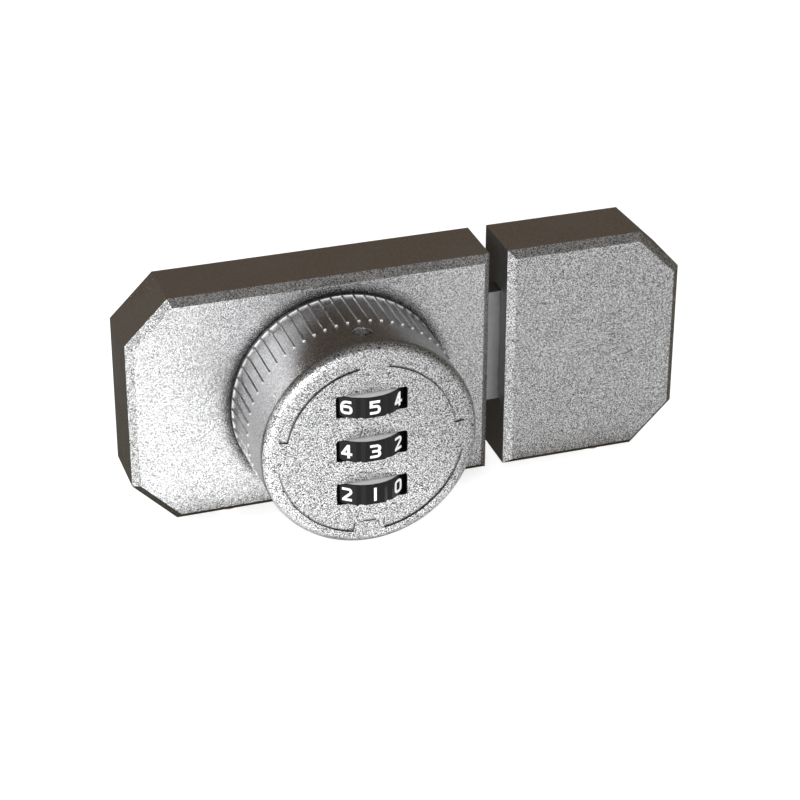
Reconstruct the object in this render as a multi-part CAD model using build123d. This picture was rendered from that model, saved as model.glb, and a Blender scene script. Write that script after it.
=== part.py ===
from build123d import *
import math
import os

os.makedirs("parts", exist_ok=True)

# A surface mounted combination lock for a pair of cabinet doors, in millimetres.
# X runs to the right, Z up, and the front faces -Y. The origin is where the knob's axis meets
# the mounting surface. "out" is the distance in front of that surface, so y = -out.

# Both housings
body_height = 50.0
body_centre = 1.0       # height of the housings' middle above the knob's axis
body_depth = 14.5
edge_bevel = 1.5        # bevel round the front face
corner_cut = 9.0        # 45 degree cut on the outer corners
side_wall = 1.8
front_wall = 2.0
plate_thickness = 2.0
plate_gap = 0.2         # base plate inside the cover's rim

# Case, on the left
case_left = 43.2        # knob axis to the left side
case_right = 33.0       # knob axis to the right side

# Keeper, on the right
door_gap = 4.0
keeper_width = 38.2

# Knob
knob_radius = 22.25
knob_bore = 20.0
knob_lift = 0.3         # case front to the back of the knob
knob_height = 23.0      # case front to the knob's face
knob_face_wall = 2.0
knob_edge_round = 2.1
knob_foot_step = 0.35   # the foot ring and the ribs stand this far out
knob_foot_height = 0.8
rib_count = 60
rib_foot_width = 0.8
rib_top_width = 0.35
rib_end = 12.4          # case front to the front end of the ribs
rib_start = 2.0         # degrees from the top to the first rib, clockwise
panel_inner = 17.4
panel_outer = 19.4
panel_start = 9.5       # degrees from one end of a panel's quarter to the panel
panel_turn = 2.0        # the panels' quarters are turned this far clockwise
panel_depth = 0.35
mark_width = 2.8
mark_height = 0.6
mark_radius = 16.7

# Number wheels
wheel_pitch = 9.8
wheel_flat = 9.0        # axle to the middle of a digit's flat
wheel_flat_width = 3.9
wheel_notch_depth = 0.35    # below the corners of the flats
wheel_height = 4.4
wheel_proud = 2.0       # how far a wheel stands out of the face
digit_count = 10
window_width = 14.7
window_height = 4.8
window_corner = 0.5
window_lip = 1.0
window_pocket = 8.3     # half width of the relief behind a window
axle_radius = 1.5
turning_gap = 0.08      # running fit of the wheels and the spindle
side_gap = 0.3          # a wheel's sides to its neighbours

# Code sleeves under the wheels
sleeve_radius = 4.6
sleeve_length = 3.1
gate_width = 2.2
gate_depth = 1.1
clutch_radius = 3.2
clutch_depth = 1.0
clutch_gap = 0.06

# Wheel carrier inside the knob
carrier_gap = 0.5       # carrier inside the knob's bore
carrier_base = 3.0
carrier_end_web = 2.2
web_half = 4.6
boss_radius = 2.4
boss_x = 13.4
boss_z = 10.0
carrier_screw_bite = 7.0
thread_gap = 0.05       # screws in their tapped holes, which have no thread here

# Fence bar behind the sleeves
fence_half = 1.4
fence_depth = 2.0
fence_slot_gap = 0.3
fence_slot_depth = 2.2  # slot in the carrier's base
fence_end_wall = 0.8
finger_half = 0.8
finger_height = 2.2
bow_thickness = 0.25
bow_half_length = 6.0

# Detent spring beside the wheels
leaf_thickness = 0.4
leaf_nose = 0.5
leaf_nose_rise = 0.2
leaf_foot = 3.4
leaf_foot_half = 5.0
rivet_inset = 1.9
rivet_radius = 0.8
rivet_head = 1.4
rivet_head_height = 0.7
leaf_finger = 3.6
leaf_root = 3.0         # where the three fingers part from the leaf
leaf_rise = 3.1         # how far the fingers reach past the axle

# Spindle, bush, washer and clip
spindle_radius = 6.0
spindle_square = 7.0
spindle_tail = 3.0
spindle_flange = 13.0
spindle_flange_height = 2.2
spindle_screw_circle = 9.5
square_gap = 0.06
bush_radius = 8.0
bush_flange = 10.0
bush_flange_height = 1.2
washer_radius = 9.0
washer_thickness = 0.35
clip_thickness = 0.6
clip_radius = 8.2
groove_depth = 0.8

# Pinion and bolt
gear_module = 1.0
gear_teeth = 14
backlash = 0.16
pressure_angle = 20.0
flank_steps = 4
pinion_side_gap = 0.3       # pinion's faces to the bolt's
bolt_front_set_back = 5.2   # case front to the bolt's front face
bolt_rail_top = 6.7         # metal above the bolt's window
bolt_rail_bottom = 1.85     # metal under the rack's teeth
window_top_gap = 0.4
bolt_tip = 10.0             # how far the tip stands out of the case
bolt_tail = 14.0            # knob axis to the bolt's back end
bolt_travel = 11.0
bolt_tip_bevel = 1.2
slide_gap = 0.25
window_end_gap = 0.6

# Ribs in the case that guide the bolt, and the plate that holds it in
rib_thickness = 2.0
rib_inset = 17.2            # case's left side to the guide ribs' left end
pad_height = 2.0
retainer_thickness = 1.2
retainer_head_gap = 0.45    # base plate to the retainer screws' heads
retainer_inset_left = 23.2
retainer_inset_right = 3.0
post_radius = 2.5
retainer_screw_length = 6.0
post_inset_left = 29.2      # case's left side to the left pair of posts
post_inset_right = 7.0
post_set_back = 0.55        # rib's outer face to a post's centre

# Fixings
case_screw_inset_left = 20.6    # case's left side to its left cover screw
case_screw_inset_right = 13.0
keeper_screw_inset = 16.4   # keeper's right side to its cover screw
cover_screw_set_back = 3.0   # cover's inner face to a cover screw's axis
cover_screw_radius = 1.45
cover_screw_head = 2.15
cover_screw_head_height = 1.7
block_half = 3.2
block_height = 5.0
block_gap = 0.5             # cover's inner face to a tapped block
hook_half = 2.5
hook_thickness = 1.2
hook_reach = 1.5
lip_thickness = 1.2
small_screw_radius = 1.0
small_screw_head = 2.0
small_screw_head_height = 1.2
small_screw_slot = 0.5
clearance_gap = 0.15        # a screw in a plain hole
blind_wall = 1.0            # metal left in front of a tapped hole
mount_hole_radius = 2.2
case_mount_inset_left = 11.2
case_mount_inset_right = 19.0
case_mount_inset = 4.2      # cover's inner wall to the middle of a hole, up and down
keeper_mount_inset = 11.2

# Reset button in the top of the knob
reset_out = 31.3
reset_radius = 1.9
reset_hole_gap = 0.15
reset_sunk = 0.7
reset_dish = 0.55
reset_flange = 3.0
reset_flange_height = 1.0
reset_stem = 1.0
reset_travel = 1.5
spring_radius = 1.9
spring_wire = 0.3
spring_turns = 3.0

# Worked out from the sizes above
body_top = body_centre + body_height / 2
body_bottom = body_centre - body_height / 2
cavity_top = body_top - side_wall
cavity_bottom = body_bottom + side_wall
cavity_front = body_depth - front_wall
keeper_left = case_right + door_gap
keeper_right = keeper_left + keeper_width
keeper_screw_x = keeper_right - keeper_screw_inset
keeper_mount_x = (keeper_left + keeper_right) / 2
case_screw_x = (-case_left + case_screw_inset_left, case_right - case_screw_inset_right)
case_mount_x = (-case_left + case_mount_inset_left, case_right - case_mount_inset_right)
post_x = (-case_left + post_inset_left, case_right - post_inset_right)
rib_left = -case_left + rib_inset
retainer_left = -case_left + retainer_inset_left
retainer_right = case_right - retainer_inset_right
carrier_radius = knob_bore - carrier_gap
knob_back = body_depth + knob_lift
knob_face = body_depth + knob_height
knob_inside = knob_face - knob_face_wall
wheel_out = knob_face + wheel_proud - wheel_flat
wheel_corner = math.hypot(wheel_flat, wheel_flat_width / 2)
wheel_levels = (wheel_pitch, 0.0, -wheel_pitch)
wheel_names = ("top", "middle", "bottom")
spindle_flange_back = knob_back + 0.2
carrier_back = spindle_flange_back + spindle_flange_height
carrier_front = carrier_back + carrier_base
cover_screw_out = cavity_front - cover_screw_set_back
block_depth = cavity_front - block_gap
pitch_radius = gear_module * gear_teeth / 2
gear_outer = pitch_radius + gear_module
gear_root = pitch_radius - 1.25 * gear_module
retainer_back = plate_thickness + retainer_head_gap + small_screw_head_height
retainer_front = retainer_back + retainer_thickness
bolt_back = retainer_front + slide_gap
bolt_front = body_depth - bolt_front_set_back
bolt_window_top = gear_outer + window_top_gap
bolt_window_bottom = -pitch_radius - 1.25 * gear_module
bolt_top = bolt_window_top + bolt_rail_top
bolt_bottom = bolt_window_bottom - bolt_rail_bottom
bolt_end = case_right + bolt_tip
upper_rib = bolt_top + slide_gap
lower_rib = bolt_bottom - slide_gap
post_levels = (
    upper_rib + rib_thickness + post_set_back,
    lower_rib - rib_thickness - post_set_back,
)
bush_back = cavity_front - bush_flange_height
washer_back = bush_back - washer_thickness
clip_back = washer_back - 0.05 - clip_thickness
square_end = bolt_front - 0.1
reset_top = knob_radius - reset_sunk
reset_flange_top = knob_bore - 0.3
reset_flange_bottom = reset_flange_top - reset_flange_height
carrier_top = wheel_pitch + wheel_height / 2 + side_gap + carrier_end_web
fence_front = wheel_out - wheel_corner - side_gap
fence_slot_floor = carrier_front - fence_slot_depth
leaf_near = -(wheel_corner + side_gap + leaf_nose_rise)
leaf_far = leaf_near - leaf_thickness
rivet_x = leaf_far - rivet_inset


def slab(face, back, front):
    # Fills a face drawn as seen from the front between two distances out from the wall.
    return extrude(Plane.XZ.offset(back) * face, amount=front - back, dir=(0, -1, 0))


def block(left, right, bottom, top, back, front):
    face = Pos((left + right) / 2, (bottom + top) / 2) * Rectangle(right - left, top - bottom)
    return slab(face, back, front)


def rod(radius, back, front, x=0.0, z=0.0):
    return slab(Pos(x, z) * Circle(radius), back, front)


def upright(radius, bottom, top, x=0.0, out=0.0):
    low = (Align.CENTER, Align.CENTER, Align.MIN)
    return Pos(x, -out, bottom) * Cylinder(radius, top - bottom, align=low)


def housing_outline(left, right, left_cut, right_cut, inset):
    # The outer corners are cut at 45 degrees, and an inset keeps every wall the same thickness.
    shorter = inset * (2 - math.sqrt(2))
    low = body_bottom + inset
    high = body_top - inset
    points = []
    sides = ((left + inset, left_cut, (low, high)), (right - inset, right_cut, (high, low)))
    for side, cut, ends in sides:
        inward = 1 if side < (left + right) / 2 else -1
        if cut:
            reach = cut - shorter
            sign = 1 if ends[1] > ends[0] else -1
            points.append((side + inward * reach, ends[0]))
            points.append((side, ends[0] + sign * reach))
            points.append((side, ends[1] - sign * reach))
            points.append((side + inward * reach, ends[1]))
        else:
            points.append((side, ends[0]))
            points.append((side, ends[1]))
    return Polygon(*points, align=None)


def case_outline(inset=0.0):
    return housing_outline(-case_left, case_right, corner_cut, 0, inset)


def keeper_outline(inset=0.0):
    return housing_outline(keeper_left, keeper_right, 0, corner_cut, inset)


def bevelled_shell(outline):
    body = slab(outline(), 0, body_depth)
    front = body.faces().sort_by(Axis.Y)[0]
    body = chamfer(front.edges(), edge_bevel)
    return body - slab(outline(side_wall), 0, cavity_front)


def hook_lip(x):
    # A lip under the cover's top wall, which hooks over the base plate.
    back = plate_thickness + 0.2
    return block(x - hook_half - 0.6, x + hook_half + 0.6, cavity_top - hook_reach, cavity_top,
                 back, back + lip_thickness)


def cover_screw_hole(x):
    radius = cover_screw_radius + clearance_gap
    return upright(radius, body_bottom - 1, cavity_bottom + 0.1, x, cover_screw_out)


def pan_screw(head_radius, head_height, shank_radius, length):
    # A pan head screw that points down, with a cross recess and the head's underside at z = 0.
    rim = head_height * 0.5
    body = upright(shank_radius, -length, 0.1) + upright(head_radius, 0, rim)
    body += Pos(0, 0, (rim + head_height) / 2) * Cone(head_radius, head_radius * 0.6, head_height - rim)
    for turn in (0, 90):
        slot = Rot(0, 0, turn) * Box(head_radius * 1.1, head_radius * 0.26, head_height)
        body -= Pos(0, 0, head_height) * slot
    return body


def small_screw(x, z, head_out, length):
    # A small cheese head screw driven toward the front, the head's underside at head_out.
    head = rod(small_screw_head, head_out - small_screw_head_height, head_out, x, z)
    head -= Pos(x, -(head_out - small_screw_head_height), z) * Box(
        2 * small_screw_head, small_screw_head_height, small_screw_slot)
    return head + rod(small_screw_radius, head_out - 0.1, head_out + length, x, z)


def case_cover():
    cover = bevelled_shell(case_outline)
    for level, side in ((upper_rib, 1), (lower_rib, -1)):
        low, high = sorted((level, level + side * rib_thickness))
        cover += block(rib_left, case_right - side_wall, low, high, retainer_front, cavity_front)
        low, high = sorted((level, level - side * pad_height))
        cover += block(rib_left, case_right - side_wall, low, high, bolt_front + slide_gap, cavity_front)
    for x in post_x:
        for z in post_levels:
            cover += rod(post_radius, retainer_front, cavity_front, x, z)
    for x in case_screw_x:
        cover += hook_lip(x)
    for x in post_x:
        for z in post_levels:
            cover -= rod(small_screw_radius + thread_gap, 0, body_depth - blind_wall, x, z)
    for x in case_screw_x:
        cover -= cover_screw_hole(x)
    cover -= rod(bush_flange + side_gap, bolt_front, cavity_front)
    cover -= rod(bush_radius + 0.03, cavity_front - 1, body_depth + 1)
    slot = block(case_right - side_wall - 1, case_right + 1, lower_rib, upper_rib,
                 retainer_front, bolt_front + slide_gap)
    return cover - slot


def keeper_cover():
    cover = bevelled_shell(keeper_outline)
    cover += hook_lip(keeper_screw_x)
    cover -= cover_screw_hole(keeper_screw_x)
    slot = block(keeper_left - 1, keeper_left + side_wall + 1, lower_rib - 0.15, upper_rib + 0.15,
                 retainer_front - 0.15, bolt_front + slide_gap + 0.15)
    return cover - slot


def base_plate(outline, screw_places, hole_places):
    plate = slab(outline(side_wall + plate_gap), 0, plate_thickness)
    foot = cavity_bottom + plate_gap
    for x in screw_places:
        # Hook at the top, which reaches behind the cover's lip
        hook_front = plate_thickness + 0.4 + lip_thickness + hook_thickness
        stem_top = cavity_top - hook_reach - 0.2
        plate += block(x - hook_half, x + hook_half, stem_top - hook_thickness, stem_top, 0, hook_front)
        plate += block(x - hook_half, x + hook_half, stem_top, cavity_top - plate_gap,
                       hook_front - hook_thickness, hook_front)
        # Tapped block at the bottom, which takes the cover's screw
        plate += block(x - block_half, x + block_half, foot, foot + block_height, 0, block_depth)
        plate -= upright(cover_screw_radius + thread_gap, foot - 1, foot + block_height + 1,
                         x, cover_screw_out)
    for x, z in hole_places:
        plate -= rod(mount_hole_radius, -1, plate_thickness + 1, x, z)
    return plate


def case_base_plate():
    half = body_height / 2 - side_wall - case_mount_inset
    holes = [(x, body_centre + side * half) for x in case_mount_x for side in (-1, 1)]
    return base_plate(case_outline, case_screw_x, holes)


def keeper_base_plate():
    half = body_height / 2 - side_wall - keeper_mount_inset
    holes = [(keeper_mount_x, body_centre + side * half) for side in (-1, 1)]
    return base_plate(keeper_outline, (keeper_screw_x,), holes)


def cover_screw(x):
    length = side_wall + plate_gap + block_height - 0.6
    one = pan_screw(cover_screw_head, cover_screw_head_height, cover_screw_radius, length)
    return Pos(x, -cover_screw_out, body_bottom) * Rot(180, 0, 0) * one


def bolt_retainer():
    face = Pos((retainer_right + retainer_left) / 2, (upper_rib + lower_rib) / 2) * Rectangle(
        retainer_right - retainer_left, upper_rib - lower_rib + 2 * rib_thickness - 1)
    for x in post_x:
        for z in post_levels:
            face += Pos(x, z) * Circle(post_radius + 0.4)
    for x in post_x:
        for z in post_levels:
            face -= Pos(x, z) * Circle(small_screw_radius + clearance_gap)
    face -= Circle(spindle_tail + turning_gap)
    return slab(face, retainer_back, retainer_front)


def retainer_screws():
    return [small_screw(x, z, retainer_back, retainer_screw_length) for x in post_x for z in post_levels]


def rack_teeth(first, last):
    # Straight sided teeth that point up to the pinion, with a gap under the knob's axis.
    pitch = math.pi * gear_module
    slope = math.tan(math.radians(pressure_angle))
    half = pitch / 4 - backlash / 2
    root = bolt_window_bottom
    tip = -pitch_radius + gear_module
    low = half + 1.25 * gear_module * slope
    high = half - gear_module * slope
    teeth = []
    for step in range(first, last + 1):
        middle = (step + 0.5) * pitch
        teeth.append(Polygon((middle - low, root - 0.2), (middle + low, root - 0.2),
                             (middle + low, root), (middle + high, tip),
                             (middle - high, tip), (middle - low, root), align=None))
    return teeth


def bolt():
    window_left = -gear_outer - window_end_gap
    window_right = gear_outer + bolt_travel + window_end_gap
    face = Pos((bolt_end - bolt_tail) / 2, (bolt_top + bolt_bottom) / 2) * Rectangle(
        bolt_end + bolt_tail, bolt_top - bolt_bottom)
    face -= Pos((window_left + window_right) / 2, (bolt_window_bottom + bolt_window_top) / 2) * Rectangle(
        window_right - window_left, bolt_window_top - bolt_window_bottom)
    pitch = math.pi * gear_module
    for tooth in rack_teeth(math.ceil(window_left / pitch), math.floor(window_right / pitch) - 1):
        face += tooth
    body = slab(face, bolt_back, bolt_front)
    tip = body.faces().sort_by(Axis.X)[-1]
    return chamfer(tip.edges(), bolt_tip_bevel)


def pinion_outline():
    # Involute teeth thinned by the backlash, the first one pointing down into the rack.
    base = pitch_radius * math.cos(math.radians(pressure_angle))
    roll = math.tan(math.radians(pressure_angle)) - math.radians(pressure_angle)
    half = math.pi / (2 * gear_teeth) - backlash / 2 / pitch_radius + roll
    flank = [(gear_root, half)]
    for step in range(flank_steps + 1):
        radius = base + (gear_outer - base) * step / flank_steps
        angle = math.acos(base / radius)
        flank.append((radius, half - (math.tan(angle) - angle)))
    tooth = [(radius, -turn) for radius, turn in flank]
    tooth += [(radius, turn) for radius, turn in reversed(flank)]
    points = []
    for step in range(gear_teeth):
        middle = 2 * math.pi / gear_teeth * step - math.pi / 2
        for radius, turn in tooth:
            points.append((radius * math.cos(middle + turn), radius * math.sin(middle + turn)))
    return Polygon(*points, align=None)


def drive_pinion():
    side = spindle_square + 2 * square_gap
    face = pinion_outline() - Rectangle(side, side)
    return slab(face, bolt_back + pinion_side_gap, bolt_front - pinion_side_gap)


def spindle_bush():
    bush = rod(bush_radius, bush_back, body_depth - 0.1)
    bush += rod(bush_flange, bush_back, cavity_front)
    return bush - rod(spindle_radius + turning_gap, bush_back - 1, body_depth + 1)


def spindle_screw_places():
    circle = spindle_screw_circle
    turns = [math.radians(angle) for angle in (0, 120, 240)]
    return [(circle * math.cos(turn), circle * math.sin(turn)) for turn in turns]


def drive_spindle():
    tail_back = plate_thickness + 0.4
    spindle = rod(spindle_tail, tail_back, retainer_front + 0.1)
    face = Rectangle(spindle_square, spindle_square)
    spindle += slab(face, retainer_front + 0.1, square_end)
    spindle += rod(spindle_radius, square_end, spindle_flange_back)
    spindle += rod(spindle_flange, spindle_flange_back, carrier_back)
    groove = rod(spindle_radius + 1, clip_back - 0.05, clip_back + clip_thickness + 0.05)
    groove -= rod(spindle_radius - groove_depth, 0, body_depth)
    spindle -= groove
    for x, z in spindle_screw_places():
        spindle -= countersunk(x, z, spindle_flange_back, thread_gap, spindle_flange_height + 1)
    return spindle


def countersunk(x, z, head_out, spare, length):
    # The solid of a countersunk screw driven toward the front, with a flush head.
    radius = small_screw_radius + spare
    head = small_screw_head + spare
    height = small_screw_head - small_screw_radius
    cone = loft([Plane.XZ.offset(head_out) * Pos(x, z) * Circle(head),
                 Plane.XZ.offset(head_out + height) * Pos(x, z) * Circle(radius)])
    return cone + rod(radius, head_out + height, head_out + length, x, z)


def spindle_screws():
    screws = []
    for x, z in spindle_screw_places():
        body = countersunk(x, z, spindle_flange_back, 0.0, spindle_flange_height + carrier_base - 0.5)
        body -= Pos(x, -spindle_flange_back, z) * Box(2 * small_screw_head, 0.8, small_screw_slot)
        screws.append(body)
    return screws


def spindle_washer():
    ring = rod(washer_radius, washer_back, bush_back)
    return ring - rod(spindle_radius + 0.1, washer_back - 1, bush_back + 1)


def spindle_clip():
    ring = rod(clip_radius, clip_back, clip_back + clip_thickness)
    inner = spindle_radius - groove_depth + 0.05
    ring -= rod(inner, clip_back - 1, clip_back + clip_thickness + 1)
    mouth = block(-inner * 0.8, inner * 0.8, -clip_radius - 1, 0,
                  clip_back - 1, clip_back + clip_thickness + 1)
    return ring - mouth


def knob_panel(turn):
    ring = Circle(panel_outer) - Circle(panel_inner)
    far = panel_outer * 2
    first = math.radians(panel_start)
    last = math.radians(90 - panel_start)
    middle = math.radians(45)
    wedge = Polygon((0, 0), (far * math.cos(first), far * math.sin(first)),
                    (far * math.cos(middle), far * math.sin(middle)),
                    (far * math.cos(last), far * math.sin(last)), align=None)
    return Rot(0, 0, turn) * (ring & wedge)


def knob_ribs():
    # Grip ribs that run forward out of the foot ring and are as high as it is.
    low = knob_radius - 0.1
    high = knob_radius + knob_foot_step
    face = Polygon((-rib_foot_width / 2, low), (rib_foot_width / 2, low),
                   (rib_top_width / 2, high), (-rib_top_width / 2, high), align=None)
    rib = slab(face, knob_back + knob_foot_height / 2, body_depth + rib_end)
    return [Rot(0, rib_start + 360 / rib_count * step, 0) * rib for step in range(rib_count)]


def knob_shell():
    shell = rod(knob_radius, knob_back, knob_face)
    rim = shell.faces().sort_by(Axis.Y)[0].edges()
    shell = fillet(rim, knob_edge_round)
    shell += rod(knob_radius + knob_foot_step, knob_back, knob_back + knob_foot_height)
    shell += knob_ribs()
    shell -= rod(knob_bore, knob_back - 1, knob_inside)
    for x in (-boss_x, boss_x):
        for z in (-boss_z, boss_z):
            shell += rod(boss_radius, carrier_front, knob_inside + 0.1, x, z)
            shell -= rod(small_screw_radius + thread_gap, carrier_front - 1,
                         carrier_front + carrier_screw_bite + 1, x, z)
    for level in wheel_levels:
        window = Pos(0, level) * RectangleRounded(window_width, window_height, window_corner)
        shell -= slab(window, knob_inside - 1, knob_face + 1)
        half = wheel_height / 2 + side_gap + 0.2
        shell -= block(-window_pocket, window_pocket, level - half, level + half,
                       knob_inside - 1, knob_face - window_lip)
    for turn in (0, 90, 180, 270):
        shell -= slab(knob_panel(turn - panel_turn), knob_face - panel_depth, knob_face + 1)
    mark = Rot(0, 0, -panel_turn) * Pos(0, -mark_radius) * Rectangle(mark_width, mark_height)
    shell -= slab(mark, knob_face - panel_depth, knob_face + 1)
    shell -= upright(reset_radius + reset_hole_gap, knob_bore - 3, knob_radius + 3, 0, reset_out)
    return shell


def carrier_webs():
    # The levels of the webs: above the top wheel, between the wheels and under the bottom sleeve.
    top = carrier_top - carrier_end_web
    levels = [(top, carrier_top)]
    sleeve_end = wheel_height / 2 + sleeve_length + side_gap
    for upper, lower in zip(wheel_levels, wheel_levels[1:]):
        levels.append((lower + wheel_height / 2 + side_gap, upper - sleeve_end))
    bottom = wheel_levels[-1] - sleeve_end
    levels.append((bottom - carrier_end_web, bottom))
    return levels


def wheel_carrier():
    carrier = rod(carrier_radius, carrier_back, carrier_front)
    for bottom, top in carrier_webs():
        carrier += block(-web_half, web_half, bottom, top, carrier_front - 0.1, wheel_out)
        carrier += upright(web_half, bottom, top, 0, wheel_out)
    low = carrier_webs()[-1][0]
    carrier -= upright(axle_radius + 0.03, low + 0.6, carrier_top + 1, 0, wheel_out)
    slot = fence_half + fence_slot_gap
    carrier -= block(-slot, slot, low + fence_end_wall, carrier_top - fence_end_wall,
                     fence_slot_floor, fence_front + fence_slot_gap)
    for x in (-boss_x, boss_x):
        for z in (-boss_z, boss_z):
            carrier -= rod(small_screw_radius + clearance_gap, carrier_back - 1, carrier_front + 1, x, z)
    for x, z in spindle_screw_places():
        carrier -= rod(small_screw_radius + thread_gap, carrier_back - 1, carrier_front - 0.3, x, z)
    return carrier


def carrier_screws():
    length = carrier_base + carrier_screw_bite
    return [small_screw(x, z, carrier_back, length) for x in (-boss_x, boss_x) for z in (-boss_z, boss_z)]


def wheel_axle():
    low = carrier_webs()[-1][0] + 0.6
    return upright(axle_radius, low, carrier_top - 0.3, 0, wheel_out)


def number_wheel(level):
    half = wheel_flat_width / 2
    notch_radius = wheel_corner - wheel_notch_depth
    points = []
    for step in range(digit_count):
        turn = 2 * math.pi / digit_count * step
        notch = turn + math.pi / digit_count
        corners = ((-half, wheel_flat, turn), (half, wheel_flat, turn), (0, notch_radius, notch))
        for along, radius, angle in corners:
            points.append((radius * math.sin(angle) + along * math.cos(angle),
                           -radius * math.cos(angle) + along * math.sin(angle)))
    rim = Plane.XY.offset(-wheel_height / 2) * Polygon(*points, align=None)
    wheel = extrude(rim, amount=wheel_height, dir=(0, 0, 1))
    wheel -= Cylinder(axle_radius + turning_gap, wheel_height * 2)
    recess = extrude(RegularPolygon(clutch_radius + clutch_gap, digit_count), amount=clutch_depth + 1)
    wheel -= Pos(0, 0, -wheel_height / 2 - 1) * recess
    return Pos(0, -wheel_out, level) * wheel


def code_sleeve(level):
    top = level - wheel_height / 2
    low = top - sleeve_length
    face = Circle(sleeve_radius)
    gate = Pos(0, sleeve_radius) * Rectangle(gate_width, 2 * gate_depth)
    sleeve = extrude(face - gate, amount=sleeve_length)
    clutch = extrude(RegularPolygon(clutch_radius, digit_count), amount=clutch_depth - 0.1)
    sleeve += Pos(0, 0, sleeve_length) * clutch
    sleeve -= Cylinder(axle_radius + turning_gap, 3 * sleeve_length)
    return Pos(0, -wheel_out, low) * sleeve


def fence_bar():
    low = carrier_webs()[-1][0] + fence_end_wall + fence_slot_gap
    high = carrier_top - fence_end_wall - fence_slot_gap
    bar = block(-fence_half, fence_half, low, high, fence_front - fence_depth, fence_front)
    for level in wheel_levels:
        middle = level - wheel_height / 2 - sleeve_length / 2
        bar += block(-finger_half, finger_half, middle - finger_height / 2, middle + finger_height / 2,
                     fence_front, wheel_out - sleeve_radius - side_gap)
    return bar


def fence_spring():
    # A bowed strip between the carrier and the fence bar.
    rise = fence_front - fence_depth - fence_slot_floor - 0.1
    radius = (bow_half_length ** 2 + rise ** 2) / (2 * rise)
    middle = fence_slot_floor + rise - radius
    ring = Circle(radius) - Circle(radius - bow_thickness)
    side = fence_half - 0.2
    strip = extrude(Plane.YZ.offset(-side) * Pos(-middle, 0) * ring, amount=2 * side)
    keep = block(-fence_half, fence_half, -bow_half_length, bow_half_length, fence_slot_floor + 0.05,
                 fence_slot_floor + rise + 0.1)
    return strip & keep


def detent_spring():
    reach = wheel_pitch + leaf_finger / 2
    leaf = block(leaf_far, leaf_near, -reach, reach, carrier_front, wheel_out + leaf_rise)
    half = (wheel_pitch - leaf_finger) / 2
    for middle in (wheel_pitch / 2, -wheel_pitch / 2):
        leaf -= block(leaf_far - 1, leaf_near + 1, middle - half, middle + half,
                      carrier_front + leaf_root, wheel_out + leaf_rise + 1)
    for level in wheel_levels:
        leaf += upright(leaf_nose, level - leaf_finger / 2, level + leaf_finger / 2,
                        leaf_near + leaf_nose_rise - leaf_nose, wheel_out)
    leaf += block(leaf_far - leaf_foot, leaf_near, -leaf_foot_half, leaf_foot_half,
                  carrier_front, carrier_front + leaf_thickness)
    return leaf - rod(rivet_radius + 0.1, carrier_front - 1, carrier_front + 1, rivet_x, 0)


def detent_rivet():
    base = carrier_front + leaf_thickness
    head = rod(rivet_head, base, base + rivet_head_height, rivet_x, 0)
    return head + rod(rivet_radius, carrier_front, base + 0.1, rivet_x, 0)


def reset_button():
    head = upright(reset_radius, reset_flange_top, reset_top, 0, reset_out)
    ball = (reset_radius ** 2 + reset_dish ** 2) / (2 * reset_dish)
    head -= Pos(0, -reset_out, reset_top + ball - reset_dish) * Sphere(ball)
    head += upright(reset_flange, reset_flange_bottom, reset_flange_top, 0, reset_out)
    return head + upright(reset_stem, carrier_top + reset_travel + 0.4, reset_flange_bottom, 0, reset_out)


def reset_spring():
    low = carrier_top + 0.02 + spring_wire
    height = reset_flange_bottom - carrier_top - 0.04 - 2 * spring_wire
    path = Helix(height / spring_turns, height, spring_radius)
    start = path.position_at(0)
    section = Plane(origin=start, z_dir=path.tangent_at(0)) * RegularPolygon(spring_wire, 4)
    coil = sweep(section, path=path, is_frenet=True)
    return Pos(0, -reset_out, low) * coil


def save(name, solids):
    shape = solids if not isinstance(solids, list) else Compound(children=list(solids))
    export_step(shape, f"parts/{name}.step")


save("case_cover", case_cover())
save("case_base_plate", case_base_plate())
save("case_screws", [cover_screw(x) for x in case_screw_x])
save("keeper_cover", keeper_cover())
save("keeper_base_plate", keeper_base_plate())
save("keeper_screw", cover_screw(keeper_screw_x))
save("bolt_retainer", bolt_retainer())
save("retainer_screws", retainer_screws())
save("spindle_bush", spindle_bush())
save("bolt", bolt())
save("drive_pinion", drive_pinion())
save("drive_spindle", drive_spindle())
save("spindle_screws", spindle_screws())
save("spindle_washer", spindle_washer())
save("spindle_clip", spindle_clip())
save("knob_shell", knob_shell())
save("wheel_carrier", wheel_carrier())
save("carrier_screws", carrier_screws())
save("wheel_axle", wheel_axle())
save("fence_bar", fence_bar())
save("fence_spring", fence_spring())
save("detent_spring", detent_spring())
save("detent_rivet", detent_rivet())
save("reset_button", reset_button())
save("reset_spring", reset_spring())
for wheel_name, wheel_level in zip(wheel_names, wheel_levels):
    save(f"number_wheel_{wheel_name}", number_wheel(wheel_level))
    save(f"code_sleeve_{wheel_name}", code_sleeve(wheel_level))
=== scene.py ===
import math

import bpy
from mathutils import Matrix, Vector


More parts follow.
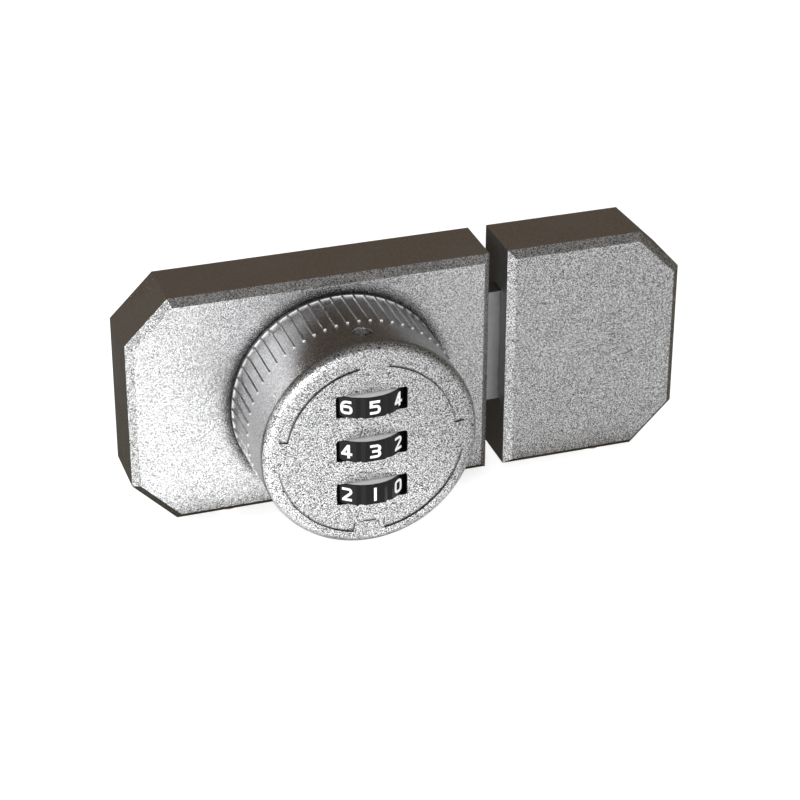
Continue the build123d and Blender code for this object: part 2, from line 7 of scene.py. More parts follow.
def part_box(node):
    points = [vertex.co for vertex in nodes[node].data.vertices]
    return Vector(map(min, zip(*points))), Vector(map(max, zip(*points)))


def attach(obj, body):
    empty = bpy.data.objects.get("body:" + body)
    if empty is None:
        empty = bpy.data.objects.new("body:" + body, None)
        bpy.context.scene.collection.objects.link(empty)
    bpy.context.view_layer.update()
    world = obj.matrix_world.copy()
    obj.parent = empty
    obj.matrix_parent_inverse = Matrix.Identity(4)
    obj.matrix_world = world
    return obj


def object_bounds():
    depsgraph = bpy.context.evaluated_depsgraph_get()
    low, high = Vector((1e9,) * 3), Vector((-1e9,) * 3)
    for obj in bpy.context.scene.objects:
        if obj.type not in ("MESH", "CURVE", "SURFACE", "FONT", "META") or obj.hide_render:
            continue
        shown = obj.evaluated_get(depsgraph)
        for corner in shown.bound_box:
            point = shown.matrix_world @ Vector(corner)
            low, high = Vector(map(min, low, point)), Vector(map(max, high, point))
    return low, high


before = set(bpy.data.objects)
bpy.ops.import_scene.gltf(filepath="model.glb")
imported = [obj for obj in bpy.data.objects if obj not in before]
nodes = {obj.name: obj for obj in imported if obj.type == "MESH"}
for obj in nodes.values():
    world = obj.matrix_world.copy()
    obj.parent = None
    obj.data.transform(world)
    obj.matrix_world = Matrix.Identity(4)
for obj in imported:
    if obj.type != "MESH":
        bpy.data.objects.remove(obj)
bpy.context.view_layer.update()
print("frame loaded,", len(nodes), "nodes")

noiseRange = [0.3, 0.7]         # where the values of a noise mostly lie


# Node trees

class Val:
    # A socket that can be used in sums
    def __init__(self, tree, socket):
        self.tree = tree
        self.socket = socket

    def maths(self, operation, *inputs):
        return self.tree.node("ShaderNodeMath", {"operation": operation}, dict(enumerate(inputs)))

    def __add__(self, other):
        return self.maths("ADD", self, other)

    __radd__ = __add__

    def __mul__(self, other):
        return self.maths("MULTIPLY", self, other)

    __rmul__ = __mul__

    def __sub__(self, other):
        return self.maths("SUBTRACT", self, other)

    def __rsub__(self, other):
        return self.maths("SUBTRACT", other, self)

    def __gt__(self, other):
        return self.maths("GREATER_THAN", self, other)

    def root(self):
        return self.maths("SQRT", self)

    def larger(self, other):
        return self.maths("MAXIMUM", self, other)

    def size(self):
        return self.maths("ABSOLUTE", self)


class Tree:
    def __init__(self, owner, outputKind="ShaderNodeOutputMaterial"):
        self.owner = owner
        owner.use_nodes = True
        self.tree = owner.node_tree
        self.tree.nodes.clear()
        self.output = self.tree.nodes.new(outputKind)

    def node(self, kind, settings=None, inputs=None, out=0):
        made = self.tree.nodes.new(kind)
        for name, value in (settings or {}).items():
            setattr(made, name, value)
        for name, value in (inputs or {}).items():
            if isinstance(value, Val):
                self.tree.links.new(value.socket, made.inputs[name])
            else:
                made.inputs[name].default_value = value
        return Val(self, made.outputs[out])

    def place(self, scale=(1, 1, 1)):
        coords = self.node("ShaderNodeTexCoord", out="Object")
        return self.node("ShaderNodeMapping", {}, {"Vector": coords, "Scale": scale})

    def axes(self, where):
        return [self.node("ShaderNodeSeparateXYZ", {}, {"Vector": where}, out=axis) for axis in "XYZ"]

    def ownNormal(self):
        # Y is -1 on a front face and Z is -1 on an underside
        return self.axes(self.node("ShaderNodeTexCoord", out="Normal"))

    def noise(self, where, scale, detail=2.0, rough=0.5):
        inputs = {"Vector": where, "Scale": scale, "Detail": detail, "Roughness": rough}
        return self.node("ShaderNodeTexNoise", {}, inputs)

    def remap(self, value, low, high, toLow=0.0, toHigh=1.0):
        return self.node("ShaderNodeMapRange", {}, {"Value": value, "From Min": low, "From Max": high,
                                                    "To Min": toLow, "To Max": toHigh})

    def mix(self, factor, one, two):
        return self.node("ShaderNodeMix", {"data_type": "RGBA"}, {0: factor, 6: one, 7: two}, out=2)

    def tones(self, value, look, between=noiseRange):
        # The look's colour, from a darker to a lighter share of it
        darker, lighter = [shaded(look["color"], share) for share in look["tones"]]
        return self.mix(self.remap(value, *between), darker, lighter)

    def roughness(self, value, look, between=noiseRange):
        return self.remap(value, *between, look["rough"] - look["smoother"], look["rough"] + look["rougher"])

    def bump(self, height, look, normal=None):
        inputs = {"Height": height, "Strength": look["bump"], "Distance": look["bumpDepth"]}
        if normal is not None:
            inputs["Normal"] = normal
        return self.node("ShaderNodeBump", {}, inputs)

    def vector(self, operation, inputs):
        return self.node("ShaderNodeVectorMath", {"operation": operation}, inputs)

    def principled(self, **inputs):
        words = {"color": "Base Color", "metallic": "Metallic", "rough": "Roughness", "normal": "Normal",
                 "specular": "Specular IOR Level"}
        shader = self.node("ShaderNodeBsdfPrincipled", {}, {words[k]: v for k, v in inputs.items()})
        return self.finish(shader)

    def finish(self, shader):
        self.tree.links.new(shader.socket, self.output.inputs["Surface"])
        return self.owner

    def backgroundRay(self):
        # 1 for what the camera, a gloss or a glass sees, 0 for what lights the object
        seen = self.node("ShaderNodeLightPath", out="Is Camera Ray")
        mirrored = self.node("ShaderNodeLightPath", out="Is Glossy Ray")
        through = self.node("ShaderNodeLightPath", out="Is Transmission Ray")
        return seen.larger(mirrored).larger(through)


def newMaterial(name):
    return Tree(bpy.data.materials.new(name))


def rgb(red, green, blue):
    return (red, green, blue, 1.0)


def grey(value):
    return (value, value, value, 1.0)


def shaded(color, share):
    return rgb(*[min(1.0, c * share) for c in color])


def radius(across, up):
    return (across * across + up * up).root()


# Speckled satin zinc of the housings, the knob and the reset button, with painted shade on the side walls
# and undersides

zinc = {
    "flakes": 8200.0,           # flakes to the metre
    "contrast": [0.28, 0.72],   # of the flakes' own values
    "lean": 0.25,               # how far the flakes lean out of the surface
    "dark": 0.26,               # how much of the colour the darkest flakes have
    "light": 1.42,              # and the lightest
    "color": (0.70, 0.70, 0.71),
    "metallic": 0.95,
    "cloud": 60.0,
    "rough": 0.28,
    "smoother": 0.04,
    "rougher": 0.04,
    "bump": 0.5,
    "bumpDepth": 0.00012,
    "bumpGrain": 0.45,          # as a share of the flakes
    "front": [0.15, 0.6],       # forward part of the normal, from a side wall to the front
    "sideShare": 0.2,           # how much of the grain the side walls have
    "sideShade": 0.90,           # and how much of the colour, as painted shade on the side walls
    "under": [-0.7, -0.3],      # upward part of the normal, from an underside to a wall
    "undersideShade": 0.20,          # how much of the colour the undersides have, as painted shade
    "paintedShade": 0.04,              # and of the painted shade in the panel corners and round the knob's foot
}
keeperLook = {**zinc, "dark": 0.16, "light": 1.52}
# The knob's skirt gets more painted shade on its sides, and its painted shade on the undersides starts
# sooner
knobLook = {**zinc, "dark": 0.02, "sideShare": 0.45, "sideShade": 0.66, "under": [-0.62, -0.2]}
# Painted shade: the reset button in its hole gets a dark share of the colour on its sides
shadedButtonLook = {**zinc, "dark": 0.05, "sideShare": 1.0, "sideShade": 0.28}
# Painted shade for the keeper's wall in the narrow gap beside the bolt
gapShadeLook = {**zinc, "sideShade": 0.35, "rough": 0.5}
# Painted light: the bevels that face left are paler and less metallic, as where the lamp at the left falls
# on them
litBevelLook = {**zinc, "dark": 0.02, "metallic": 0.25, "color": (0.92, 0.92, 0.93)}


def makeZinc(name, look, shadow=None):
    m = newMaterial(name)
    where = m.place()
    color = look["color"]
    _, backward, upward = m.ownNormal()
    facing = m.remap(backward * -1.0, *look["front"])       # 1 on the front, 0 on the side walls
    share = m.remap(facing, 0.0, 1.0, look["sideShare"], 1.0)
    flake = m.node("ShaderNodeTexVoronoi", {}, {"Vector": where, "Scale": look["flakes"]}, out="Color")
    red = m.node("ShaderNodeSeparateColor", {}, {"Color": flake})
    shade = (m.remap(red, *look["contrast"]) - 0.5) * share + 0.5
    dark, light, side = look["dark"], look["light"], look["sideShade"]
    front = m.mix(shade, shaded(color, dark), shaded(color, light))
    # Painted shade: the side walls get a darker share of the colour
    shadedSides = m.mix(shade, shaded(color, dark * side), shaded(color, light * side))
    # Painted shade: the undersides get a darker share of the colour
    undersideShadeMask = m.remap(upward, *look["under"], 1.0, 0.0)
    tone = m.mix(undersideShadeMask, m.mix(facing, shadedSides, front), shaded(color, look["undersideShade"]))
    # Painted shade where the mask that is passed in asks for it: the panel corners and the ring round the
    # knob's foot
    if shadow:
        tone = m.mix(shadow(m, where) * facing, tone, shaded(color, look["paintedShade"]))
    surface = m.node("ShaderNodeNewGeometry", out="Normal")
    turned = m.vector("SUBTRACT", {0: flake, 1: (0.5, 0.5, 0.5)})
    leaning = m.vector("SCALE", {0: turned, "Scale": share * look["lean"]})
    normal = m.vector("NORMALIZE", {0: m.vector("ADD", {0: surface, 1: leaning})})
    uneven = m.noise(where, look["flakes"] * look["bumpGrain"], 2.0, 0.6)
    return m.principled(color=tone, metallic=look["metallic"],
                        rough=m.roughness(m.noise(where, look["cloud"]), look),
                        normal=m.bump(uneven * share, look, normal))


# The shallow panels in the knob's face: a painted shade line lies in the corner that looks up, and the walls
# that look up are painted near black as shade

panel = {
    "inner": 0.0174,
    "outer": 0.0194,
    "ends": [7.5, 168.5, 258.5, 277.5],     # degrees round the face, the ends that look up
    "corner": 0.00050,          # width of the painted shade line
    "crossing": 0.004,          # height over which the line changes from one edge to the other
    "dark": 0.96,
    "upWall": 0.03,             # how much of the colour the walls that look up have, as painted shade
    "downWall": 0.80,
    "upNormal": 0.6,
    "upMetallic": 0.1,
    "wallGrain": 3000.0,
    "wallRough": [0.35, 0.5],
}


# Painted shade: a dark line in the panel corners that look up, and at the panel ends that look up
def panelCornerShade(m, where):
    across, _, up = m.axes(where)
    out = radius(across, up)
    atInner = m.remap(out, panel["inner"], panel["inner"] + panel["corner"], 1.0, 0.0)
    atOuter = m.remap(out, panel["outer"] - panel["corner"], panel["outer"])
    above = m.remap(up, -panel["crossing"], panel["crossing"])
    corner = atInner * above + atOuter * (1.0 - above)
    for end in panel["ends"]:
        sine = math.sin(math.radians(end))
        cosine = math.cos(math.radians(end))
        away = (up * cosine - across * sine).size()
        atEnd = m.remap(away, 0.0, panel["corner"], 1.0, 0.0)
        corner = corner.larger(atEnd * (across * cosine + up * sine > 0.0))
    return corner * panel["dark"]


# Painted shade: the panel walls that look up are near black, the others a little darker
def makeShadedWall(name, look):
    m = newMaterial(name)
    up = m.remap(m.ownNormal()[2], 0.0, panel["upNormal"])
    fine = m.noise(m.place(), panel["wallGrain"])
    tone = m.mix(up, shaded(look["color"], panel["downWall"]), shaded(look["color"], panel["upWall"]))
    metallic = m.remap(up, 0.0, 1.0, look["metallic"], panel["upMetallic"])
    return m.principled(color=tone, metallic=metallic, rough=m.remap(fine, *noiseRange, *panel["wallRough"]))


# Painted shade: a dark speckled ring on the case, round the foot of the knob

footShade = {
    "start": 0.0228,            # from the knob's axis
    "end": 0.0256,
    "dark": 1.25,
    "grain": 6000.0,
    "contrast": [0.4, 0.6],
    "specks": 1.0,              # how far the specks break it up
    "soft": 0.5,
}


# Painted shade round the knob's foot, darkest next to it
def knobFootShade(m, where):
    across, _, up = m.axes(where)
    near = m.remap(radius(across, up), footShade["start"], footShade["end"], footShade["dark"], 0.0)
    fine = m.noise(where, footShade["grain"], 2.0, 0.6)
    specks = m.remap(fine, *footShade["contrast"], 0.0, footShade["specks"])
    return m.remap(near - specks, 0.0, footShade["soft"])


# Painted highlights on small edges that catch the light: the foot ring's front and the ends of the ribs

highlightLook = {
    "color": (0.74, 0.74, 0.74),
    "tones": [0.92, 1.04],
    "grain": 1500.0,
    "metallic": 0.3,
    "rough": 0.30,
    "smoother": 0.05,
    "rougher": 0.05,
}


def makeHighlight(name, look):
    m = newMaterial(name)
    fine = m.noise(m.place(), look["grain"])
    return m.principled(color=m.tones(fine, look), metallic=look["metallic"], rough=m.roughness(fine, look))


# Plain metals, with a fine grain and soft clouds

metal = {
    "tones": [0.86, 1.08],
    "grain": 900.0,
    "streak": (1, 1, 1),
    "cloud": 90.0,
    "metallic": 1.0,
    "smoother": 0.05,
    "rougher": 0.07,
    "bump": 0.1,
    "bumpDepth": 0.00005,
}
platedLook = {**metal, "color": (0.60, 0.61, 0.63), "rough": 0.36, "metallic": 0.45}
# Painted reflection: the screw heads get a pale warm colour and little metal, standing in for the warm light
# they reflect
screwSheenLook = {**metal, "color": (0.80, 0.72, 0.60), "rough": 0.45, "metallic": 0.3}
boltLook = {**metal, "color": (0.36, 0.36, 0.37), "rough": 0.42, "grain": 700.0, "bump": 0.05,
            "streak": (1, 0.1, 1)}
springLook = {**metal, "color": (0.45, 0.46, 0.48), "rough": 0.3}
brassLook = {**metal, "color": (0.70, 0.52, 0.24), "rough": 0.3, "grain": 1200.0, "streak": (1, 1, 0.1)}


def makeMetal(name, look):
    m = newMaterial(name)
    fine = m.noise(m.place(look["streak"]), look["grain"], 3.0, 0.55)
    cloud = m.noise(m.place(), look["cloud"], 3.0, 0.6)
    shade = m.remap(fine * 0.5 + cloud * 0.5, *noiseRange)
    return m.principled(color=m.tones(shade, look, (0.0, 1.0)), metallic=look["metallic"],
                        rough=m.roughness(shade, look, (0.0, 1.0)), normal=m.bump(fine, look))


# Mouldings and paint

moulding = {
    "tones": [0.9, 1.04],
    "grain": 2200.0,
    "specular": 0.5,
    "smoother": 0.03,
    "rougher": 0.05,
    "bump": 0.04,
    "bumpDepth": 0.00003,
}
carrierLook = {**moulding, "color": (0.03, 0.03, 0.032), "rough": 0.5}
wheelLook = {**moulding, "color": (0.003, 0.003, 0.0032), "rough": 0.08, "specular": 0.22}
# Painted shade: the walls inside the knob's windows are near black
insideShadeLook = {**moulding, "color": (0.004, 0.004, 0.004), "rough": 0.6, "specular": 0.2}
digitLook = {**moulding, "color": (0.88, 0.88, 0.88), "rough": 0.4}


def makePaint(name, look):
    m = newMaterial(name)
    fine = m.noise(m.place(), look["grain"])
    return m.principled(color=m.tones(fine, look), rough=m.roughness(fine, look),
                        specular=look["specular"], normal=m.bump(fine, look))


# Number wheels: black rims round pale grey sides

wheels = ["top", "middle", "bottom"]
axleLow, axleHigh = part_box("wheel_axle")
axleOut = (axleLow.y + axleHigh.y) / 2
sideLook = {
    "color": (0.60, 0.60, 0.61),
    "tones": [0.92, 1.05],
    "grain": 2600.0,
    "contrast": [0.35, 0.65],
    "specular": 0.22,
    "rough": 0.42,
    "smoother": 0.04,
    "rougher": 0.06,
    "bump": 0.08,
    "bumpDepth": 0.00003,
    "rim": 0.00870,             # where the black rim begins, from the axle
}


def makeWheelSide(name, look):
    m = newMaterial(name)
    where = m.place()
    across, outward, _ = m.axes(where)
    fine = m.noise(where, look["grain"])
    inRim = radius(across, outward - axleOut) > look["rim"]
    tone = m.mix(inRim, m.tones(fine, look, look["contrast"]), rgb(*wheelLook["color"]))
    return m.principled(color=tone, rough=m.roughness(fine, look), specular=look["specular"],
                        normal=m.bump(fine, look))


def paint(names, material):
    for name in names:
        slots = nodes[name].data.materials
        for i in range(len(slots)):
            slots[i] = material


def paintFaces(name, material, wanted):
    # The faces that the test picks get a further material
    mesh = nodes[name].data
    mesh.materials.append(material)
    last = len(mesh.materials) - 1
    for face in mesh.polygons:
        if wanted(face.center, face.normal):
            face.material_index = last


# The case carries the painted shade ring round the knob's foot
caseZinc = makeZinc("satinZincCase", zinc, knobFootShade)
keeperZinc = makeZinc("satinZincKeeper", keeperLook)
edgeHighlight = makeHighlight("edgeHighlight", highlightLook)
knobZinc = makeZinc("satinZincKnob", knobLook)
panelZinc = makeZinc("satinZincPanel", knobLook, panelCornerShade)
buttonZinc = makeZinc("satinZincButton", shadedButtonLook)
gapShadeZinc = makeZinc("satinZincGapShade", gapShadeLook)
litBevelZinc = makeZinc("satinZincLitBevel", litBevelLook)
recessWallShade = makeShadedWall("recessWallShade", knobLook)
plated = makeMetal("zincPlatedSteel", platedLook)
screwSheen = makeMetal("screwSheen", screwSheenLook)
boltSteel = makeMetal("boltSteel", boltLook)
springSteel = makeMetal("springSteel", springLook)
brass = makeMetal("turnedBrass", brassLook)
darkPlastic = makePaint("carrierPlastic", carrierLook)
blackWheel = makePaint("glossBlack", wheelLook)
wheelSide = makeWheelSide("wheelSide", sideLook)
windowShade = makePaint("windowShade", insideShadeLook)
whitePaint = makePaint("digitWhite", digitLook)

paint(["case_cover"], caseZinc)
paint(["keeper_cover"], keeperZinc)
paint(["knob_shell"], knobZinc)
paint(["reset_button"], buttonZinc)
paint(["case_base_plate", "keeper_base_plate", "bolt_retainer", "retainer_screws", "drive_pinion",
       "drive_spindle", "spindle_screws", "spindle_washer", "carrier_screws", "wheel_axle",
       "fence_bar", "detent_rivet"], plated)
# Painted reflection on the screw heads
paint(["case_screws", "keeper_screw"], screwSheen)
paint(["bolt"], boltSteel)
paint(["spindle_clip", "fence_spring", "detent_spring", "reset_spring"], springSteel)
paint(["spindle_bush", "code_sleeve_top", "code_sleeve_middle", "code_sleeve_bottom"], brass)
paint(["wheel_carrier"], darkPlastic)
paint([f"number_wheel_{which}" for which in wheels], blackWheel)

# Faces with a look of their own, picked by where they are and which way they look: the wheel sides, and
# painted highlights, painted light and painted shade

knobLow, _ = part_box("knob_shell")
knobFace = knobLow.y            # the front of the knob's face
inFace = 0.0005                 # a little more than the panels are deep
windows = {"reach": 0.0084, "height": 0.0135, "back": -0.0148}     # the reliefs behind the windows
reliefs = {"inner": 0.0155, "outer": 0.0197, "mark": 0.0172}       # where the panels and the mark lie
knobRadius = 0.0222             # the ribs and the foot ring stand out from here
looks = {
    "straight": 0.9,            # this much of a normal along an axis looks straight along it
    "gapWall": 0.95,
    "bevel": [0.6, 0.8],
    "level": 0.1,
    "wall": 0.5,
}


def fromAxis(centre):
    return math.hypot(centre.x, centre.z)


def wheelFace(centre, normal):
    return abs(normal.z) > looks["straight"]


def ribFront(centre, normal):
    return normal.y < -looks["straight"] and fromAxis(centre) > knobRadius


def gapWall(centre, normal):
    return normal.x < -looks["gapWall"]


def leftBevel(centre, normal):
    least, most = looks["bevel"]
    return least < -normal.x < most and abs(normal.z) < looks["level"]


def windowWall(centre, normal):
    deep = centre.y > knobFace + inFace or abs(normal.y) < looks["wall"]
    return (deep and abs(centre.x) < windows["reach"] and abs(centre.z) < windows["height"]
            and centre.y < windows["back"])


def panelWall(centre, normal):
    inRing = reliefs["inner"] < fromAxis(centre) < reliefs["outer"] and centre.y < knobFace + inFace
    inMark = centre.y > knobFace + inFace / 5 and fromAxis(centre) < reliefs["mark"]
    return inRing and (abs(normal.y) < looks["wall"] or inMark)


def panelFloor(centre, normal):
    inRing = reliefs["mark"] < fromAxis(centre) < reliefs["outer"]
    sunk = knobFace + inFace / 5 < centre.y < knobFace + inFace
    return inRing and normal.y < -looks["straight"] and sunk


for which in wheels:
    paintFaces(f"number_wheel_{which}", wheelSide, wheelFace)
# Painted highlights on the rib ends and the foot ring's front
paintFaces("knob_shell", edgeHighlight, ribFront)
# Painted shade on the keeper's wall that faces the gap
paintFaces("keeper_cover", gapShadeZinc, gapWall)
# Painted light on the bevels that face left
for cover in ["case_cover", "keeper_cover"]:
    paintFaces(cover, litBevelZinc, leftBevel)
# Painted shade on the walls inside the knob's windows
paintFaces("knob_shell", windowShade, windowWall)
# The panel floors carry the painted shade line
paintFaces("knob_shell", panelZinc, panelFloor)
# The panel walls carry painted shade
paintFaces("knob_shell", recessWallShade, panelWall)
print("materials on")


# Digits on the wheels, drawn with a flat pen.
# A stroke is a start, a heading and its runs and turns. Its lengths are shares of the digit's height.

digits = {
    "height": 0.0030,
    "pen": 0.00055,
    "thick": 0.00005,           # proud of the flat
    "thicker": 0.12,            # each further stroke, as a share of that
    "sunk": 0.00002,
    "turnStep": 15,
    "merge": 0.01,              # points this near are one, as a share of the pen
    "flatReach": 0.0021,        # half the width over which the front flat is looked for
    "middle": {"top": 5, "middle": 3, "bottom": 1},     # what shows in front
}
bend = 0.19
loop = [("run", 0.09), ("turn", 90, bend), ("run", 0.02), ("turn", 90, bend), ("run", 0.18),
        ("turn", 90, bend), ("run", 0.02), ("turn", 90, bend), ("run", 0.09)]
hook = [("run", 0.34), ("turn", 90, 0.32), ("run", 0.29), ("turn", 90, bend), ("run", 0.26),
        ("turn", 90, bend), ("run", 0.08), ("turn", 90, bend), ("run", 0.42)]
strokes = {
    0: [((0, -0.4), 0, [("run", 0.09), ("turn", 90, bend), ("run", 0.42), ("turn", 90, bend), ("run", 0.18),
                        ("turn", 90, bend), ("run", 0.42), ("turn", 90, bend), ("run", 0.09)])],
    1: [((0, -0.5), 90, [("run", 1.0)])],
    2: [((-0.35, 0.4), 0, [("run", 0.43), ("turn", -137, bend), ("run", 0.66)]),
        ((-0.35, -0.4), 0, [("run", 0.68)])],
    3: [((-0.35, 0.4), 0, [("run", 0.46), ("turn", -180, 0.2), ("run", 0.32)]),
        ((-0.35, -0.4), 0, [("run", 0.46), ("turn", 180, 0.2)])],
    4: [((0.13, -0.5), 90, [("run", 1.0)]),
        ((-0.38, -0.2), 0, [("run", 0.76)]),
        ((-0.3, -0.2), 58, [("run", 0.72)])],
    5: [((-0.37, 0.4), 0, [("run", 0.7)]),
        ((-0.27, 0.4), -90, [("run", 0.32)]),
        ((-0.37, 0.07), 0, [("run", 0.45), ("turn", -90, 0.2), ("run", 0.07), ("turn", -90, 0.2),
                            ("run", 0.43)])],
    6: [((0.34, 0.4), 180, hook)],
    7: [((-0.35, 0.4), 0, [("run", 0.7)]), ((0.25, 0.4), -113, [("run", 0.93)])],
    8: [((0, 0), 0, loop), ((0, 0), 180, loop)],
    9: [((-0.34, -0.4), 0, hook)],
}


def selectPoints(obj, wanted):
    mesh = obj.data
    for edge in mesh.edges:
        edge.select = False
    for face in mesh.polygons:
        face.select = False
    for vert in mesh.vertices:
        vert.select = wanted(vert.co)


def penStroke(start, heading, moves, thick):
    pen = digits["pen"]
    size = digits["height"]
    where = Vector((start[0], start[1], 0)) * size
    angle = math.radians(heading)
    forward = Vector((math.cos(angle), math.sin(angle), 0))
    bpy.ops.object.select_all(action="DESELECT")
    bpy.ops.mesh.primitive_plane_add(size=pen, location=where + forward * pen / 2, rotation=(0, 0, angle))
    stroke = bpy.context.object
    bpy.ops.object.transform_apply(location=True, rotation=True, scale=True)
    selectPoints(stroke, lambda co: (co - where).dot(forward) > pen / 2)
    bpy.ops.object.mode_set(mode="EDIT")
    bpy.ops.mesh.delete(type="VERT")
    bpy.ops.mesh.select_all(action="SELECT")
    for move in moves:
        forward = Vector((math.cos(angle), math.sin(angle), 0))
        if move[0] == "run":
            step = forward * move[1] * size
            bpy.ops.mesh.extrude_region_move(TRANSFORM_OT_translate={"value": step})
            where = where + step
        else:
            turn = math.radians(move[1])
            side = Vector((-forward.y, forward.x, 0)) * (1 if turn > 0 else -1)
            middle = where + side * move[2] * size
            steps = math.ceil(abs(move[1]) / digits["turnStep"])
            bpy.ops.mesh.spin(steps=steps, angle=-turn, center=middle, axis=(0, 0, 1))
            where = middle + Matrix.Rotation(turn, 3, "Z") @ (where - middle)
            angle += turn
    bpy.ops.mesh.select_all(action="SELECT")
    bpy.ops.mesh.remove_doubles(threshold=pen * digits["merge"])
    bpy.ops.mesh.extrude_region_move(TRANSFORM_OT_translate={"value": (0, 0, thick + digits["sunk"])})
    bpy.ops.mesh.select_all(action="SELECT")
    bpy.ops.mesh.normals_make_consistent(inside=False)
    bpy.ops.object.mode_set(mode="OBJECT")
    return stroke


def joined(objects, name):
    bpy.ops.object.select_all(action="DESELECT")
    for obj in objects:
        obj.select_set(True)
    bpy.context.view_layer.objects.active = objects[0]
    if len(objects) > 1:
        bpy.ops.object.join()
    objects[0].name = name
    objects[0].data.name = name
    return objects[0]


def makeDigit(value):
    # Each stroke is a little thicker than the one before, so that no two faces share a plane
    parts = []
    for i, stroke in enumerate(strokes[value]):
        parts.append(penStroke(*stroke, digits["thick"] * (1 + digits["thicker"] * i)))
    return joined(parts, f"digit_{value}")


def placedCopy(master, place):
    copy = master.copy()
    copy.data = master.data.copy()
    bpy.context.scene.collection.objects.link(copy)
    copy.data.transform(place)
    return copy


def frontFlat(wheel):
    # How far the flat in front is from the axle
    points = [vert.co for vert in wheel.data.vertices if abs(vert.co.x) < digits["flatReach"]]
    return max(abs(co.y - axleOut) for co in points)


masters = {value: makeDigit(value) for value in strokes}
for which in wheels:
    wheelLow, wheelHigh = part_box(f"number_wheel_{which}")
    level = (wheelLow.z + wheelHigh.z) / 2
    flat = frontFlat(nodes[f"number_wheel_{which}"])
    copies = []
    for step in range(len(strokes)):
        turn = math.radians(360 / len(strokes) * step)
        outward = Vector((math.sin(turn), -math.cos(turn), 0))
        right = Vector((0, 0, 1)).cross(outward)
        place = Matrix((right, (0, 0, 1), outward)).transposed().to_4x4()
        place.translation = Vector((0, axleOut, level)) + outward * (flat - digits["sunk"])
        value = (digits["middle"][which] - step) % len(strokes)
        copies.append(placedCopy(masters[value], place))
    ring = joined(copies, f"digits_{which}")
    ring.data.materials.clear()
    ring.data.materials.append(whitePaint)
    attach(ring, f"wheel_{which}")
for master in masters.values():
    bpy.data.objects.remove(master)
print("digits drawn")


# Stage: a plain pale floor, a pale surround, soft lamps and studio cards

low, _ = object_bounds()
stage = {"floor": 3.0, "floorColor": 0.80, "floorGlow": 0.66, "floorSeen": 0.72}


def makeFloor(name, look):
    m = newMaterial(name)
    lit = m.node("ShaderNodeBsdfDiffuse", {}, {"Color": grey(look["floorColor"])})
    glow = m.node("ShaderNodeEmission", {}, {"Color": grey(1.0), "Strength": look["floorGlow"]})
    shadowed = m.node("ShaderNodeBsdfDiffuse", {}, {"Color": grey(look["floorSeen"])})
    seen = m.node("ShaderNodeAddShader", {}, {0: glow, 1: shadowed})
    return m.finish(m.node("ShaderNodeMixShader", {}, {0: m.backgroundRay(), 1: lit, 2: seen}))


def board(name, middle, size, turn, material):
    bpy.ops.object.select_all(action="DESELECT")
    bpy.ops.mesh.primitive_plane_add(size=1.0, location=middle, rotation=turn)
    obj = bpy.context.object
    obj.scale = (size[0], size[1], 1.0)
    bpy.ops.object.transform_apply(location=False, rotation=False, scale=True)
    obj.name = name
    obj.data.materials.append(material)
    return obj


upright = (math.pi / 2, 0, 0)
sideways = (math.pi / 2, 0, math.pi / 2)
lying = (0, 0, 0)
board("paleFloor", (0, 0, low.z), (stage["floor"], stage["floor"]), lying, makeFloor("paleFloor", stage))

# Cards that only the gloss sees: dark and warm behind and above, dim at the right,
# and bright on the floor in front of the case and at its left
onFloor = low.z + 0.0004
cards = {
    "backCard": ((0.02, 0.22, 0.12), (1.1, 0.5), upright, (0.105, 0.074, 0.046)),
    "rightCard": ((0.28, 0.02, 0.08), (0.42, 0.30), sideways, (0.12, 0.11, 0.09)),
    "topCard": ((0.0, -0.30, 0.28), (1.2, 1.10), lying, (0.16, 0.15, 0.14)),
    "behindFloorCard": ((0.05, 0.10, onFloor), (1.0, 0.24), lying, (0.08, 0.065, 0.045)),
    "frontFloorCard": ((0.255, -0.27, onFloor), (0.45, 0.50), lying, (0.55, 0.55, 0.55)),
    "leftFloorBoard": ((-0.0475, -0.144, onFloor), (0.075, 0.24), lying, (1.75, 1.75, 1.75)),
    "sideFloorBoard": ((-0.1925, -0.049, onFloor), (0.215, 0.05), lying, (1.2, 1.2, 1.2)),
    "rightFrontCard": ((0.30, -0.52, 0.10), (0.66, 0.30), sideways, (0.12, 0.12, 0.12)),
    "leftBoard": ((-0.36, -0.10, 0.10), (0.30, 0.24), sideways, (1.0, 1.0, 1.0)),
    "leftFrontCard": ((-0.45, -0.55, 0.12), (0.55, 0.40), sideways, (0.30, 0.30, 0.30)),
}


def makeCard(name, color):
    m = newMaterial(name)
    return m.finish(m.node("ShaderNodeEmission", {}, {"Color": rgb(*color), "Strength": 1.0}))


for name, (middle, size, turn, color) in cards.items():
    card = board(name, middle, size, turn, makeCard(name, color))
    card.visible_camera = False
    card.visible_diffuse = False
    card.visible_transmission = False
    card.visible_shadow = False

lamps = {
    "keyLamp": {"place": (-0.45, -0.85, 0.30), "size": (0.5, 0.4), "power": 10.0, "inGloss": True},
    "fillLamp": {"place": (0.5, -0.9, 0.25), "size": (0.4, 0.4), "power": 3.0, "inGloss": True},
    "backLamp": {"place": (-0.3, 0.8, 0.30), "size": (0.5, 0.4), "power": 5.0, "inGloss": False},
}


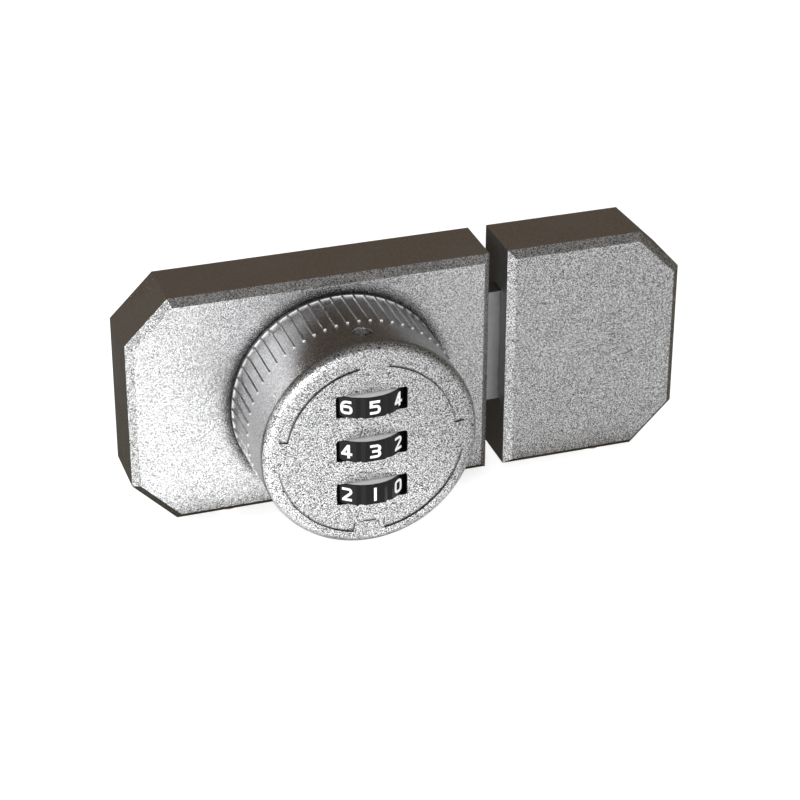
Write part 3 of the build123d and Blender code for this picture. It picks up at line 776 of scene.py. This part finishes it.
def makeLamp(name, look):
    data = bpy.data.lights.new(name, "AREA")
    data.shape = "RECTANGLE"
    data.size, data.size_y = look["size"]
    data.energy = look["power"]
    obj = bpy.data.objects.new(name, data)
    bpy.context.scene.collection.objects.link(obj)
    obj.location = look["place"]
    obj.rotation_mode = "QUATERNION"
    obj.rotation_quaternion = (-Vector(look["place"])).to_track_quat("-Z", "Y")
    obj.visible_glossy = look["inGloss"]


for name, look in lamps.items():
    makeLamp(name, look)

surround = {"lit": 0.30, "seen": 1.0}


def makeWorld(look):
    world = bpy.data.worlds.new("surround")
    bpy.context.scene.world = world
    w = Tree(world, "ShaderNodeOutputWorld")
    lit = w.node("ShaderNodeBackground", {}, {"Color": grey(1.0), "Strength": look["lit"]})
    seen = w.node("ShaderNodeBackground", {}, {"Color": grey(1.0), "Strength": look["seen"]})
    w.finish(w.node("ShaderNodeMixShader", {}, {0: w.backgroundRay(), 1: lit, 2: seen}))


makeWorld(surround)

# Camera, from the fit to the photo's edges

view = {
    "target": (0.01426, -0.0120, -0.00534),
    "azimuth": -18.46,
    "elevation": 28.73,
    "roll": 0.15,
    "distance": 0.5224,
    "lens": 113.4,
    "sensor": 36.0,
    "nearest": 0.01,
}


def makeCamera(look):
    data = bpy.data.cameras.new("photoCamera")
    data.lens = look["lens"]
    data.sensor_width = look["sensor"]
    data.clip_start = look["nearest"]
    camera = bpy.data.objects.new("photoCamera", data)
    bpy.context.scene.collection.objects.link(camera)
    a = math.radians(look["azimuth"])
    e = math.radians(look["elevation"])
    back = Vector((math.sin(a) * math.cos(e), -math.cos(a) * math.cos(e), math.sin(e)))
    camera.location = Vector(look["target"]) + back * look["distance"]
    turn = (-back).to_track_quat("-Z", "Y").to_matrix()
    turn = turn @ Matrix.Rotation(math.radians(look["roll"]), 3, "Z")
    camera.rotation_mode = "QUATERNION"
    camera.rotation_quaternion = turn.to_quaternion()
    bpy.context.scene.camera = camera


makeCamera(view)
bpy.context.scene.view_settings.view_transform = "Standard"
print("camera and stage set")
